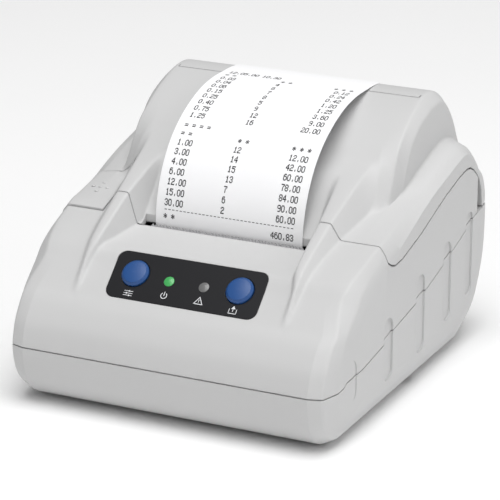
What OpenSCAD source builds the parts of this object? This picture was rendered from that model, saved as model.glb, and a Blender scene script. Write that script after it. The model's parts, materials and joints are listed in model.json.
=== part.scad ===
// Compact clamshell thermal receipt printer for 58 mm paper.
// Origin: centre of the footprint, on the surface it stands on. Front faces -Y, +Z is up.
// Side profiles are lists of [y, z]; they are lofted along X into the smooth outer shape.

/* [Body] */
// Half of the width over the side walls
half_w = 63.4; // [62.4:0.2:64.4]
// Thickness of the moulded walls
wall = 2.2; // [1.8:0.1:2.6]
// Gap between neighbouring mouldings
seam = 0.4; // [0.3:0.05:0.5]
// Height of the rubber feet
foot_h = 1.0; // [0.8:0.1:1.2]

/* [Paper] */
// Width of the paper
paper_w = 57.5; // [56:0.5:58]
// Thickness of the paper as modelled
paper_t = 0.2; // [0.15:0.05:0.25]
// Radius of the part-used roll
roll_r = 21; // [17:0.5:22]

/* [Platen] */
// Radius of the rubber platen roller
platen_r = 4.8; // [4.6:0.1:4.9]
// Radius of the platen shaft
shaft_r = 1.5; // [1.3:0.1:1.6]

/* [Gears] */
// Tooth module of the feed gears
gear_m = 0.6; // [0.6:0.1:0.6]
// Teeth on the platen gear
platen_teeth = 20; // [20:1:20]
// Teeth on the idler gear
idler_teeth = 30; // [30:1:30]
// Teeth on the motor pinion
pinion_teeth = 14; // [14:1:14]

/* [Controls] */
// Radius of the two push buttons
button_r = 5.0; // [4.6:0.1:5.2]
// Button centres, each side of the middle
button_x = 20.1; // [19:0.1:21]
// Radius of the lamp lenses
led_r = 1.9; // [1.6:0.1:2.2]
// Lamp centres, each side of the middle
led_x = 6.7; // [6:0.1:8]

/* [Hidden] */
$fn = 48;
eps = 0.01;
far = 200;
fit = 0.02;          // clearance of a pin that is held
run = 0.06;          // clearance of a shaft that turns

// ---- outer shape ---------------------------------------------------------
base_z = foot_h;

// front of the case, from the underside up to the control panel
nose = [[-59, base_z], [-66, 4], [-70.5, 9.5], [-72.6, 16.5], [-73, 21.8], [-72.3, 25.2],
  [-70.7, 30], [-67.8, 34.3], [-64.6, 38], [-60.6, 41.2]];
// rear of the case, from the shoulder down to the underside
tail = [[67.6, 63], [71.2, 57], [72.6, 50], [73, 44], [72.3, 34], [69.9, 25.8], [64.3, 13],
  [59.8, 7.5], [53, 3.2], [47, base_z]];
// flat tops of the shoulders
shoulder = [[-46.6, 53.9], [-38.2, 57.9], [-26, 61.8], [-14, 64.6], [1.5, 68.2], [17, 72.4],
  [35.4, 77.8], [44, 79.4], [50, 79], [56, 76.8], [61, 73.2], [65, 68.6]];
// the outermost side wall, point for point with the outline of the shoulders
side = [[-44, 14], [-45, 15.5], [-46, 17], [-46.5, 19], [-46.9, 21.8], [-47.15, 25.2], [-47.25, 30],
  [-47.2, 34.3], [-47, 38], [-46.4, 42], [-43.6, 46.4], [-37.4, 50.6], [-26, 55.6], [-14, 59.1],
  [1.5, 64.8], [17, 69.6], [35.4, 73.8], [43, 75.2], [48, 74.4], [53, 71.2], [57, 66.6],
  [59.5, 62], [61.2, 57.6], [62.2, 53], [62.5, 49], [62.4, 44], [61.6, 34], [60, 27],
  [56, 20], [52, 16.5], [46, 14.6], [38, 14]];
// floor of the dip behind the paper slot, and the mass it is cut from
dip = [[-46.4, 54.3], [-26, 56.1], [-22.5, 56.6], [-14, 66.3], [-8, 73], [-1.4, 78.4], [-1.4, 99],
  [-46.4, 99]];
ramp = [[-17.5, 60.3], [-17.5, 63.8], [-12.5, 70], [-2.8, 79.4], [3.4, 79.1], [4.6, 58.8]];
// the two ridges beside the dip
ridge = [[-57.2, 43], [-46.6, 56.6], [-38.2, 61.3], [-26, 67.4], [-14, 72.7], [-3, 77.3],
  [6.3, 81], [5.2, 58.2], [-49, 44.6]];
// the dome over the paper roll
dome = [[0.4, 61.5], [-3.3, 67.7], [-2.2, 77.7], [1.5, 79.3], [10, 84.8], [17, 89.4], [25, 93.7],
  [35.4, 97.4], [44, 97.7], [50, 95.4], [56, 90.8], [61, 84.5], [64.4, 75], [65.3, 65.7], [58, 56.3]];
dome_half_w = 51.6;
// hollow inside: under the shoulders, beside the walls and in the dome
hollow = [[-58.4, 3.2], [-65, 6.3], [-68.6, 11], [-70.4, 17], [-70.8, 21.8], [-70.2, 25],
  [-68.8, 29], [-66, 33], [-63, 36.4], [-58.6, 39.8], [-45.6, 51], [-37, 52.6], [-24, 53.8],
  [-20.8, 55], [-13, 62.2], [2, 65.8], [17.6, 70], [36, 75.3], [44, 77], [49.4, 76.6],
  [54.8, 74.6], [59.4, 71.4], [63, 67.2], [65.6, 61.8], [69, 56.4], [70.4, 50], [70.8, 44],
  [70.1, 34.4], [67.8, 26.6], [62.4, 14.2], [58.4, 9.4], [52.3, 5.4], [46.6, 3.2]];
hollow_side = [[-40, 16], [-44.6, 21.8], [-44.8, 30], [-44.6, 39], [-42, 44.5], [-36, 48.4],
  [-25, 53], [2.2, 62.6], [17.6, 67.3], [35.8, 71.4], [42.6, 72.8], [47, 72.2], [51.4, 69.4],
  [55, 65.2], [57.6, 60.6], [59.4, 55.6], [60.3, 49], [60.2, 44], [59.4, 34.4], [57.9, 28],
  [54.4, 21.6], [50.8, 18.6], [45, 16.8]];
hollow_dome = [[8, 60], [-6, 71.6], [1, 76.4], [9, 81.8], [16, 86.6], [24, 91.4], [35, 95.1],
  [43.4, 95.4], [48.8, 93.6], [54.4, 89.2], [59, 83.4], [62.8, 74.4], [64.2, 65], [58, 57]];
hollow_shoulder = [[-50, 45.5], [-45.2, 51.7], [-37.4, 55.6], [-25.5, 59.5], [-13.4, 62.3], [0, 65.5],
  [1, 50], [-47, 43]];
hollow_ridge = [[-44, 50], [-43.6, 55.4], [-37, 59.3], [-25, 65.1], [-13, 70.2], [-3.5, 74.2],
  [-2.7, 52]];
dome_in = dome_half_w - wall;

function lerp(a, b, t) = a + (b - a) * t;
function unit(v) = v / max(norm(v), 1e-6);
body_outline = concat(nose, shoulder, tail);
// share of the way out to the side wall: underside, front and rear, top
function share(i, w) = (i < 3 || i > 28) ? w[0] : (i < 10 || i > 22) ? w[1] : w[2];
function toward_side(w) = [for (i = [0 : len(side) - 1])
  lerp(body_outline[i], side[i], share(i, w))];
strip_in = 57.6;
half_body = [[strip_in, body_outline], [61.2, toward_side([0.42, 0.24, 0.3])], [half_w, side]];
whole_body = concat([for (i = [2 : -1 : 0]) [-half_body[i][0], half_body[i][1]]], half_body);

// skin through a few stations [x, outline]
module loft(list) {
  n = len(list[0][1]);
  m = len(list);
  rings = [for (s = list) for (q = s[1]) [s[0], q[0], q[1]]];
  pts = concat(rings, [[list[0][0], 5, 40], [list[m - 1][0], 5, 40]]);
  sides = [for (i = [0 : m - 2]) for (j = [0 : n - 1])
    let (k = (j + 1) % n)
    each [[(i + 1) * n + j, i * n + j, i * n + k], [(i + 1) * n + k, (i + 1) * n + j, i * n + k]]];
  first_cap = [for (j = [0 : n - 1]) [j, m * n, (j + 1) % n]];
  last_cap = [for (j = [0 : n - 1]) [(m - 1) * n + (j + 1) % n, m * n + 1, (m - 1) * n + j]];
  polyhedron(points = pts, faces = concat(sides, first_cap, last_cap), convexity = 10);
}
module envelope() {
  union() {
    difference() {
      union() {
        loft(whole_body);
        across(ramp, -32.7, 32.7);
      }
      across(dip, -33, 33);
    }
    both_sides() across(ridge, 36.4, 43);
    across(dome, -dome_half_w, dome_half_w);
  }
}
module cavity() {
  union() {
    across(hollow, -57.4, 57.4);
    across(hollow_side, -61.2, 61.2);
    across(hollow_dome, -dome_in, dome_in);
    both_sides() across(hollow_shoulder, 35.3, 57.3);
    both_sides() across(hollow_ridge, 38.4, 41);
  }
}
module shell() {
  difference() {
    envelope();
    cavity();
  }
}
// extrudes a [y, z] outline along X from x0 to x1
module across(points, x0, x1) {
  translate([x0, 0, 0]) rotate([90, 0, 90]) linear_extrude(x1 - x0) polygon(points);
}
module block(lo, hi) {
  translate(lo) cube(hi - lo);
}
// cylinder along X
module rod(x0, x1, y, z, r) {
  translate([x0, y, z]) rotate([0, 90, 0]) cylinder(r = r, h = x1 - x0);
}
module both_sides() {
  children();
  mirror([1, 0, 0]) children();
}

// part line between the two case halves, seen from the side
part_line = [[-80, 21.8], [-64, 21.8], [-48, 24.7], [-30, 27.7], [-19.5, 30.3], [-2.4, 33.2],
  [9.1, 35.4], [24.7, 39.8], [34, 42.2], [47.5, 46.5], [55.3, 49], [62, 50], [80, 50]];
// lower edge of the lid, seen from the side
lid_front_y = -26;
lid_line = [[lid_front_y, 56], [-23, 54.2], [-20, 53.3], [-14, 53.7], [2.1, 57.5], [11.7, 60.6],
  [25.9, 65.1], [38, 68], [45.4, 69.1], [49.3, 68.6], [52.5, 67], [56, 64.2], [58.8, 61],
  [60.7, 57], [61.8, 50.3], [80, 50.3]];
function raised(line, dz) = [for (p = line) p + [0, dz]];

// ---- hinge, platen and feed train -----------------------------------------
hinge_y = 70.4;
hinge_z = 50.2;
knuckle_r = 2.4;
hinge_pin_r = 0.9;
lug_in = 37;
lug_out = 43;

platen_y = -15.2;
platen_z = 47.5;
roll_y = 31;
roll_z = 66;
core_r = 6;

idler_y = -19.2;
idler_z = 33.04;
pinion_dir = 207;
train_gap = gear_m * (idler_teeth + pinion_teeth) / 2;
motor_y = idler_y + train_gap * cos(pinion_dir);
motor_z = idler_z + train_gap * sin(pinion_dir);
gear_x0 = 36.8;
gear_x1 = 39.4;

platen_to_idler = atan2(idler_z - platen_z, idler_y - platen_y);
idler_turn = platen_to_idler + 180 + 180 / idler_teeth;
tooth_step = 360 / idler_teeth;
off_tooth = (pinion_dir - idler_turn) - tooth_step * round((pinion_dir - idler_turn) / tooth_step);
pinion_turn = pinion_dir + 180 + 180 / pinion_teeth + off_tooth * idler_teeth / pinion_teeth;

pressure = 20;
function involute(a) = tan(a) * 180 / PI - a;
function flank(r, rb, half) = half + involute(pressure) - involute(acos(min(1, rb / r)));
module gear_2d(teeth) {
  rp = gear_m * teeth / 2;
  rb = rp * cos(pressure);
  root = rp - 1.15 * gear_m;
  tip = rp + 0.85 * gear_m;
  backlash = 0.14;
  half = 90 / teeth - backlash / 2 / rp * 180 / PI;
  base = max(rb, root);
  radii = [base, lerp(base, tip, 0.3), lerp(base, tip, 0.65), tip];
  rise = [for (r = radii) [r, -flank(r, rb, half)]];
  fall = [for (i = [3 : -1 : 0]) [radii[i], flank(radii[i], rb, half)]];
  one = concat([[root, rise[0][1] - 1]], rise, fall, [[root, fall[3][1] + 1]]);
  polygon([for (k = [0 : teeth - 1]) for (p = one)
    p[0] * [cos(p[1] + k * 360 / teeth), sin(p[1] + k * 360 / teeth)]]);
}
module spur(teeth, turn, bore, y, z) {
  translate([gear_x0, y, z]) rotate([90, 0, 90]) difference() {
    rotate([0, 0, turn]) linear_extrude(gear_x1 - gear_x0) gear_2d(teeth);
    translate([0, 0, -eps]) cylinder(r = bore, h = far);
  }
}

// ---- control panel ---------------------------------------------------------
panel_y = -53.5;
panel_z = 47.6;
panel_tilt = 42.2;
panel_half_w = 28.9;
panel_half_h = 9.2;
panel_corner = 3.4;
button_up = 0.9;
button_travel = 0.8;
module on_panel() {
  translate([0, panel_y, panel_z]) rotate([panel_tilt, 0, 0]) children();
}
module rounded_plate(hw, hh, r, z0, z1) {
  translate([0, 0, z0]) linear_extrude(z1 - z0) union() {
    square([2 * hw, 2 * (hh - r)], center = true);
    square([2 * (hw - r), 2 * hh], center = true);
    for (sx = [-1, 1]) for (sy = [-1, 1])
      translate([sx * (hw - r), sy * (hh - r)]) circle(r);
  }
}

// ---- rear ports --------------------------------------------------------------
port_wall_y = 61;
port_face_y = 63;
jack_x = -33;
data_x = -13;
drawer_x = 10;
rocker_x = 33;
board_top = 9.6;

// ---- fixings -----------------------------------------------------------------
case_posts = [[47, -50, 21.8, 30], [-47, -50, 21.8, 30], [56, 8, 35.2, 44], [-56, 8, 35.2, 44]];
frame_posts = [[39.5, -34], [-39.5, -34], [39.5, -10], [-39.5, -10]];
board_posts = [[41, 6], [-41, 6], [41, 52], [-41, 52]];
shelf_y = [9.5, 41.5];
feet = [[44, -48], [-44, -48], [44, 40], [-44, 40]];
screw_r = 1.4;
frame_foot_z = 17;

// vertical flutes in the side walls: [y centre, z low, z high, width]
flutes = [[-55.5, 15, 31, 8.4], [-25, 13, 36, 7.8], [3.6, 13.4, 42.6, 7.8], [28.6, 17, 47, 7.2],
  [49.6, 20, 52, 6.4]];
flute_depth = 0.6;
function arch(cy, cz, r, a0) = [for (i = [0 : 4]) [cy + r * cos(a0 + 45 * i), cz + r * sin(a0 + 45 * i)]];
module side_flutes() {
  both_sides() for (f = flutes)
    across(concat(arch(f[0], f[2] - f[3] / 2, f[3] / 2, 0), arch(f[0], f[1] + f[3] / 2, f[3] / 2, 180)),
      half_w - flute_depth, half_w + 4);
}

// ---- paper path ---------------------------------------------------------------
nip_y = platen_y - platen_r - paper_t / 2 - 0.1;
// middle line of the printed strip, from the nip over the lid
print_line = [[nip_y, platen_z + 0.3], [nip_y, 49.9], [-20.6, 52], [-21, 54], [-21.1, 57],
  [-20.8, 61], [-19.7, 66],
  [-17.6, 71.5], [-14.6, 77], [-10.6, 82.3], [-5.4, 87], [0.8, 91], [8.2, 94.4], [16.4, 96.9],
  [25, 98.1], [33, 98.25], [40, 98.2], [46, 97.6]];
// middle line of the paper from the roll to the nip
web_arc = [for (a = [268 : -11 : 180])
  [platen_y, platen_z] + (platen_r + paper_t / 2 + 0.1) * [cos(a), sin(a)]];
web_line = concat([[roll_y + 1, roll_z - roll_r - paper_t / 2 - 0.1]], web_arc);
function normal_at(p, i) = let (a = p[max(i - 1, 0)], b = p[min(i + 1, len(p) - 1)],
  t = unit(b - a)) [-t[1], t[0]];
module ribbon(line, t) {
  one = [for (i = [0 : len(line) - 1]) line[i] + normal_at(line, i) * t / 2];
  two = [for (i = [len(line) - 1 : -1 : 0]) line[i] - normal_at(line, i) * t / 2];
  across(concat(one, two), -paper_w / 2, paper_w / 2);
}

// round wire wound into a coil about the local Z axis
module coil(r, wire, turns, pitch) {
  sides = 6;
  steps = turns * 12;
  pts = [for (i = [0 : steps]) for (j = [0 : sides - 1])
    let (a = i * 30, b = j * 360 / sides, rr = r + wire * cos(b))
    [rr * cos(a), rr * sin(a), pitch * i / 12 + wire * sin(b)]];
  skin = [for (i = [0 : steps - 1]) for (j = [0 : sides - 1]) let (k = (j + 1) % sides)
    each [[i * sides + j, (i + 1) * sides + j, i * sides + k],
      [(i + 1) * sides + j, (i + 1) * sides + k, i * sides + k]]];
  start = [[for (j = [0 : sides - 1]) j]];
  finish = [[for (j = [sides - 1 : -1 : 0]) steps * sides + j]];
  polyhedron(points = pts, faces = concat(skin, start, finish), convexity = 8);
}

// ---- casings --------------------------------------------------------------------
module lower_case() {
  color([0.8, 0.8, 0.8]) difference() {
    union() {
      intersection() {
        shell();
        across(concat(part_line, [[80, -5], [-80, -5]]), -far, far);
      }
      // walls of the rear port recess
      across([[61, 1.8], [63, 1.8], [63, 29], [71, 29], [71.4, 31], [61, 31]], -48.9, 48.9);
      both_sides() across([[50, 2.6], [53, 3.4], [59.8, 7.7], [64.3, 13.2], [69.8, 25.9], [71.4, 31],
        [61, 31]], 47, 49);
      // hinge lugs on the rear wall
      both_sides() rod(lug_in, lug_out, hinge_y, hinge_z, knuckle_r);
      both_sides() block([lug_in, 69.4, 40], [lug_out, 72.6, hinge_z]);
      for (p = case_posts) translate([p[0], p[1], base_z + 1])
        cylinder(r = 4.2, h = p[2] - base_z - 1);
      for (p = frame_posts) translate([p[0], p[1], base_z + 1])
        cylinder(r = 3.4, h = frame_foot_z - base_z - 1);
      for (p = board_posts) translate([p[0], p[1], base_z + 1])
        cylinder(r = 3, h = 7 - base_z);
      // shelf posts for the paper bin
      both_sides() for (y = shelf_y) block([28, y, base_z + 1], [31, y + 3, 35.4]);
    }
    // hollow of the recess
    block([-47, 63, -1], [47, 90, 29]);
    // room for the hinge knuckles of the lid
    rod(-57, -lug_out - seam, hinge_y, hinge_z, knuckle_r + 0.35);
    rod(-lug_in + seam, lug_in - seam, hinge_y, hinge_z, knuckle_r + 0.35);
    rod(lug_out + seam, 57, hinge_y, hinge_z, knuckle_r + 0.35);
    side_flutes();
    // openings of the ports
    block([data_x - 6.2, 50, board_top], [data_x + 6.2, 80, board_top + 11.2]);
    block([drawer_x - 6.7, 50, board_top], [drawer_x + 6.7, 80, board_top + 10.4]);
    translate([jack_x, 50, board_top + 5.5]) rotate([-90, 0, 0]) cylinder(r = 4.6, h = 30);
    block([rocker_x - 6.7, 50, 12], [rocker_x + 6.7, 80, 22.5]);
    both_sides() rod(lug_in - 1, lug_out + 1, hinge_y, hinge_z, hinge_pin_r + run);
    // screw holes
    for (p = case_posts) {
      translate([p[0], p[1], -1]) cylinder(r = 3, h = p[2] - 5 + 1);
      translate([p[0], p[1], 0]) cylinder(r = screw_r + 0.3, h = p[2] + 1);
    }
    for (p = frame_posts) translate([p[0], p[1], 6]) cylinder(r = screw_r + fit, h = 20);
    for (p = board_posts) translate([p[0], p[1], 3.5]) cylinder(r = screw_r + fit, h = 10);
  }
}

// the notch that the release lever sits in
lever_in = -45.6;
lever_front = -29.6;
lever_rear = -4.6;
lever_gap = 0.35;
lever_rear_gap = 1;
lever_pin_y = -7;
lever_pin_z = 62.4;
lever_pin_r = 1;

slot_front = -22.8;
slot_rear = -20.6;
module upper_case() {
  color([0.85, 0.85, 0.85]) difference() {
    union() {
      difference() {
        intersection() {
          shell();
          across(concat(raised(part_line, seam), [[80, 120], [-80, 120]]), -far, far);
        }
        across(concat(lid_line, [[80, 140], [lid_front_y, 140]]), -far, far);
        block([-32.9, slot_front, 40], [32.9, 0, 80]);
        block([-far, 57, 30], [far, 80, 140]);
        block([-far, lever_front - lever_gap, 51.6],
          [lever_in + lever_gap, lever_rear + lever_rear_gap, 90]);
        on_panel() rounded_plate(panel_half_w + 0.1, panel_half_h + 0.1, panel_corner, -0.5, 6);
      }
      for (p = case_posts) if (p[1] < 0) translate([p[0], p[1], p[2] + seam])
        cylinder(r = 3.4, h = 25.2);
      both_sides() block([57, 5.4, 35.8], [61.4, 10.6, 48]);
      // floor of the lever recess and the two carriers of its pin
      block([-62.3, -28, 49.7], [-46.4, -5, 51.3]);
      for (x = [-58, -49.6]) {
        rod(x, x + 2, lever_pin_y, lever_pin_z, 1.9);
        across([[-18, 50.5], [-5.1, 50.5], [-5.1, 62.4], [-8.9, 62.4], [-11, 56]], x, x + 2);
      }
      // rib under the slot that holds the tear bar
      block([-32.5, slot_front - 2.2, 51.7], [32.5, slot_front + 0.1, 55]);
    }
    for (p = case_posts) translate([p[0], p[1], 10]) cylinder(r = screw_r + fit, h = p[2] - 2);
    rod(-59, -47, lever_pin_y, lever_pin_z, lever_pin_r + run);
    on_panel() for (sx = [-1, 1]) {
      translate([sx * button_x, button_up, -20]) cylinder(r = button_r + 0.3, h = 30);
      translate([sx * led_x, 0, -20]) cylinder(r = led_r + fit, h = 30);
    }
    side_flutes();
  }
}

lid_gap = 0.4;
module lid() {
  color([0.87, 0.87, 0.87]) difference() {
    union() {
      difference() {
        intersection() {
          shell();
          across(concat(raised(lid_line, lid_gap), [[80, 120], [lid_front_y, 120]]), -far, far);
        }
        block([-far, -40, 0], [far, lid_front_y + lid_gap, 120]);
        block([-32.9, -40, 0], [32.9, slot_rear, 120]);
        rod(-far, far, hinge_y, hinge_z, knuckle_r + 0.3);
      }
      rod(-55.6, -lug_out - seam, hinge_y, hinge_z, knuckle_r);
      rod(-lug_in + seam, lug_in - seam, hinge_y, hinge_z, knuckle_r);
      rod(lug_out + seam, 55.6, hinge_y, hinge_z, knuckle_r);
      for (x = [[-55.6, -lug_out - seam], [-lug_in + seam, lug_in - seam], [lug_out + seam, 55.6]])
        across([[69, hinge_z + 0.6], [72.4, hinge_z + 0.4], [71.4, 56], [69, 57]], x[0], x[1]);
      // ribs that carry the platen holder
      both_sides() across([[slot_rear + 0.1, 57.2], [-9, 57.2], [-9, 67.6], [slot_rear + 0.1, 57.8]], 24, 27);
    }
    both_sides() rod(lug_in - seam, lug_out + seam, hinge_y, hinge_z, knuckle_r + 0.35);
    block([-far, -40, 0], [lever_in + lever_gap, lever_rear + lever_rear_gap, 120]);
    // room for the lever spring
    rod(-46, -41, lever_pin_y, lever_pin_z, 2.1);
    both_sides() rod(lug_in - 6, lug_out + 6, hinge_y, hinge_z, hinge_pin_r + fit);
  }
}

module hinge_pins() {
  color([0.75, 0.75, 0.78]) both_sides()
    rod(lug_in - 5.5, lug_out + 5.5, hinge_y, hinge_z, hinge_pin_r);
}

module release_lever() {
  color([0.84, 0.84, 0.84]) difference() {
    union() {
      difference() {
        across([[lever_front + 0.6, 57.4], [lever_front, 59.8], [lever_front, 61.2], [-26, 62.5],
          [-14, 65.2], [lever_rear, 67.4], [lever_rear, 64.3], [-14, 61.6]], -half_w + 3.6, lever_in);
        across([[lever_front + 1.6, 54], [lever_front + 1.6, 59.9], [-25, 60.8], [-14, 63.2],
          [lever_rear - 0.8, 65.3], [lever_rear - 0.8, 58]], -half_w + 5.1, lever_in - 1.8);
      }
      // outer lip, down to the side wall
      across([[lever_front + 2.2, 52.1], [lever_front + 0.8, 56.4], [lever_front, 59.6],
        [lever_front, 60.4], [-26, 61.2], [-14, 63.8], [lever_rear, 66.2],
        [lever_rear, 52.1]], -half_w + 0.6, -half_w + 4.2);
      // hub and its two webs
      rod(-55.4, -50.2, lever_pin_y, lever_pin_z, 1.9);
      for (x = [-55.4, -52.2]) block([x, lever_pin_y - 1.5, lever_pin_z], [x + 2, lever_pin_y + 1.2, 65.8]);
      // grip dots
      for (d = [[0, 0], [2.9, 0], [-2.9, 0], [0, 2.9], [0, -2.9]])
        translate([-54.5 + d[0], -16.5 + d[1], 64.5 + 0.225 * d[1]]) sphere(0.75);
    }
    rod(-59, -47, lever_pin_y, lever_pin_z, lever_pin_r + fit);
  }
}
module lever_pin() {
  color([0.75, 0.75, 0.78]) rod(-58.2, -38.6, lever_pin_y, lever_pin_z, lever_pin_r);
}
module latch_hook() {
  color([0.2, 0.2, 0.22]) difference() {
    union() {
      rod(-40.6, -38.8, lever_pin_y, lever_pin_z, 2.1);
      across([[-8.6, 63.6], [-20.2, 53.4], [-20.4, 47.4], [-18.4, 46.2], [-17.4, 47.6], [-17.2, 49.4],
        [-14.6, 49.4], [-14.4, 50.8], [-17.2, 51.8], [-17.4, 52.6], [-5.6, 61]], -40.6, -38.8);
    }
    rod(-42, -37, lever_pin_y, lever_pin_z, lever_pin_r + fit);
  }
}
module lever_spring() {
  color([0.7, 0.7, 0.72]) translate([-44.9, lever_pin_y, lever_pin_z]) rotate([0, 90, 0])
    coil(1.45, 0.25, 5, 0.7);
}

// ---- controls --------------------------------------------------------------------
module control_panel() {
  color([0.1, 0.1, 0.11]) on_panel() difference() {
    rounded_plate(panel_half_w, panel_half_h, panel_corner, -0.45, 0.15);
    for (sx = [-1, 1]) {
      translate([sx * button_x, button_up, -2]) cylinder(r = button_r + 0.3, h = 4);
      translate([sx * led_x, 0, -2]) cylinder(r = led_r + fit, h = 4);
    }
  }
}
module push_button(x) {
  color([0.16, 0.36, 0.66]) on_panel() translate([x, button_up, 0]) union() {
    translate([0, 0, -2.9]) cylinder(r = button_r, h = 3.6);
    translate([0, 0, 0.7]) cylinder(r1 = button_r, r2 = button_r - 0.8, h = 0.8);
    intersection() {
      translate([0, 0, 1.5]) cylinder(r = button_r - 0.8, h = 1);
      translate([0, 0, 1.9 - 24]) sphere(24);
    }
    translate([0, 0, -4]) cylinder(r = button_r + 1, h = 1.2);
    translate([0, 0, -5.2]) cylinder(r = 1.5, h = 2);
  }
}
module set_button() {
  push_button(-button_x);
}
module feed_button() {
  push_button(button_x);
}
module lamp(x) {
  on_panel() translate([x, 0, 0]) union() {
    translate([0, 0, -7.4]) cylinder(r = led_r - 0.4, h = 4);
    translate([0, 0, -4]) cylinder(r = led_r, h = 4.2);
    intersection() {
      translate([0, 0, 0.2]) cylinder(r = led_r, h = 0.6);
      translate([0, 0, 0.6 - 5]) sphere(5);
    }
  }
}
module power_led() {
  color([0.25, 0.7, 0.3]) lamp(-led_x);
}
module error_led() {
  color([0.45, 0.45, 0.45]) lamp(led_x);
}
module panel_board() {
  color([0.1, 0.4, 0.25]) on_panel() translate([0, 0, -11]) linear_extrude(1.5)
    square([62, 17], center = true);
}
module panel_switches() {
  color([0.15, 0.15, 0.16]) on_panel() for (sx = [-1, 1]) translate([sx * button_x, button_up, 0]) {
    translate([-3, -3, -9.5]) cube([6, 6, 2.4]);
    translate([0, 0, -7.1]) cylinder(r = 1.6, h = 0.8);
  }
}

// ---- print mechanism -----------------------------------------------------------------
module tear_bar() {
  teeth = 46;
  step = 1.3;
  front = slot_front + 0.12;
  color([0.78, 0.78, 0.8]) union() {
    block([-30.5, front, 51.8], [30.5, front + 0.6, 55]);
    translate([0, front, 0]) rotate([90, 0, 0]) mirror([0, 0, 1]) linear_extrude(0.6)
      polygon(concat([[-teeth * step / 2, 54.8]], [for (i = [0 : teeth - 1])
        each [[(i - teeth / 2) * step, 55], [(i + 0.5 - teeth / 2) * step, 55.9]]],
        [[teeth * step / 2, 55], [teeth * step / 2, 54.8]]));
  }
}
cheek_in = 34;
cheek_out = 35.6;
module cheek() {
  difference() {
    across([[-42, frame_foot_z], [-6, frame_foot_z], [-6, 40], [-9.6, 40], [-9.6, 52], [-33.4, 52],
      [-42, 40]], cheek_in, cheek_out);
    rod(cheek_in - 1, cheek_out + 1, platen_y, platen_z, 3.4);
    block([cheek_in - 1, platen_y - 3.4, platen_z], [cheek_out + 1, platen_y + 3.4, 60]);
  }
}
module mechanism_frame() {
  color([0.3, 0.3, 0.32]) difference() {
    union() {
      both_sides() cheek();
      // spring wall in front of the head and a tie bar low at the back
      block([-cheek_in - 0.5, -33.4, 38], [cheek_in + 0.5, -32, 51]);
      block([-cheek_in - 0.5, -11, 20], [cheek_in + 0.5, -9.4, 36]);
      // mounting flanges
      both_sides() block([cheek_in, -38.5, frame_foot_z], [43.5, -6, frame_foot_z + 1.6]);
    }
    for (p = frame_posts) translate([p[0], p[1], 0]) cylinder(r = screw_r + 0.2, h = 30);
    rod(cheek_in - 1, cheek_out + 1, motor_y, motor_z, 2.4);
    rod(cheek_in - 1, cheek_out + 1, idler_y, idler_z, 1.5 + fit);
  }
}
head_face_y = nip_y - paper_t / 2 - 0.1;
module print_head() {
  color([0.55, 0.45, 0.35]) difference() {
    union() {
      block([-31.5, head_face_y - 1, 41.5], [31.5, head_face_y, 49.6]);
      block([-29, head_face_y - 1.5, 36], [29, head_face_y - 0.4, 41.5]);
    }
  }
}
module heat_sink() {
  color([0.72, 0.72, 0.74]) difference() {
    union() {
      block([-32.5, head_face_y - 4.2, 38], [32.5, head_face_y - 1.6, 51]);
      for (sx = [-1, 1]) translate([sx * 16, head_face_y - 4.2, 46]) rotate([90, 0, 0])
        cylinder(r = 1.4, h = 2);
    }
  }
}
module head_springs() {
  color([0.7, 0.7, 0.72]) for (sx = [-1, 1]) translate([sx * 16, -31.7, 46]) rotate([-90, 0, 0])
    coil(2.3, 0.35, 5, 1.25);
}
module head_ribbon() {
  color([0.85, 0.82, 0.7]) ribbon_cable([[-24.3, 37.6], [-24.3, 30], [-23.4, 22], [-20, 15],
    [-12, 12], [2, 11.8], [6, 11.8]]);
}
module ribbon_cable(line) {
  t = 0.3;
  one = [for (i = [0 : len(line) - 1]) line[i] + normal_at(line, i) * t / 2];
  two = [for (i = [len(line) - 1 : -1 : 0]) line[i] - normal_at(line, i) * t / 2];
  across(concat(one, two), -22, 0);
}
module paper_sensor() {
  color([0.12, 0.12, 0.13]) union() {
    block([-4, -13.6, 37.5], [4, -10.4, 40.6]);
    block([-1.5, -12.8, 40.6], [1.5, -11.4, 41.4]);
    block([-4, -12.4, 36.2], [4, -9.2, 37.6]);
  }
}
module stepper_motor() {
  color([0.62, 0.62, 0.64]) union() {
    rod(15, 33.2, motor_y, motor_z, 9);
    rod(33.2, cheek_in - 0.1, motor_y, motor_z, 4.5);
    block([22, motor_y - 6, motor_z + 8], [31, motor_y - 2, motor_z + 10.6]);
  }
}
module motor_pinion() {
  color([0.8, 0.68, 0.35]) union() {
    spur(pinion_teeth, pinion_turn, 0.01, motor_y, motor_z);
    rod(cheek_in + 0.1, gear_x0 + 0.5, motor_y, motor_z, 1.2);
  }
}
module idler_gear() {
  color([0.9, 0.9, 0.86]) spur(idler_teeth, idler_turn, 1.5 + run, idler_y, idler_z);
}
module idler_pin() {
  color([0.75, 0.75, 0.78]) union() {
    rod(cheek_in - 0.6, gear_x1 + 0.6, idler_y, idler_z, 1.5);
    rod(gear_x1 + 0.2, gear_x1 + 1, idler_y, idler_z, 2.4);
  }
}
module platen_roller() {
  color([0.13, 0.13, 0.14]) difference() {
    rod(-29.4, 29.4, platen_y, platen_z, platen_r);
    rod(-40, 40, platen_y, platen_z, shaft_r + fit);
  }
}
module platen_shaft() {
  color([0.75, 0.75, 0.78]) rod(-40.2, 40.2, platen_y, platen_z, shaft_r);
}
module platen_bearings() {
  color([0.92, 0.92, 0.9]) both_sides() difference() {
    union() {
      rod(32.9, 36, platen_y, platen_z, 3.3);
      rod(32.5, 33.4, platen_y, platen_z, 4);
    }
    rod(30, 40, platen_y, platen_z, shaft_r + run);
  }
}
module platen_gear() {
  color([0.92, 0.92, 0.9]) spur(platen_teeth, platen_to_idler, shaft_r + fit, platen_y, platen_z);
}
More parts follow.
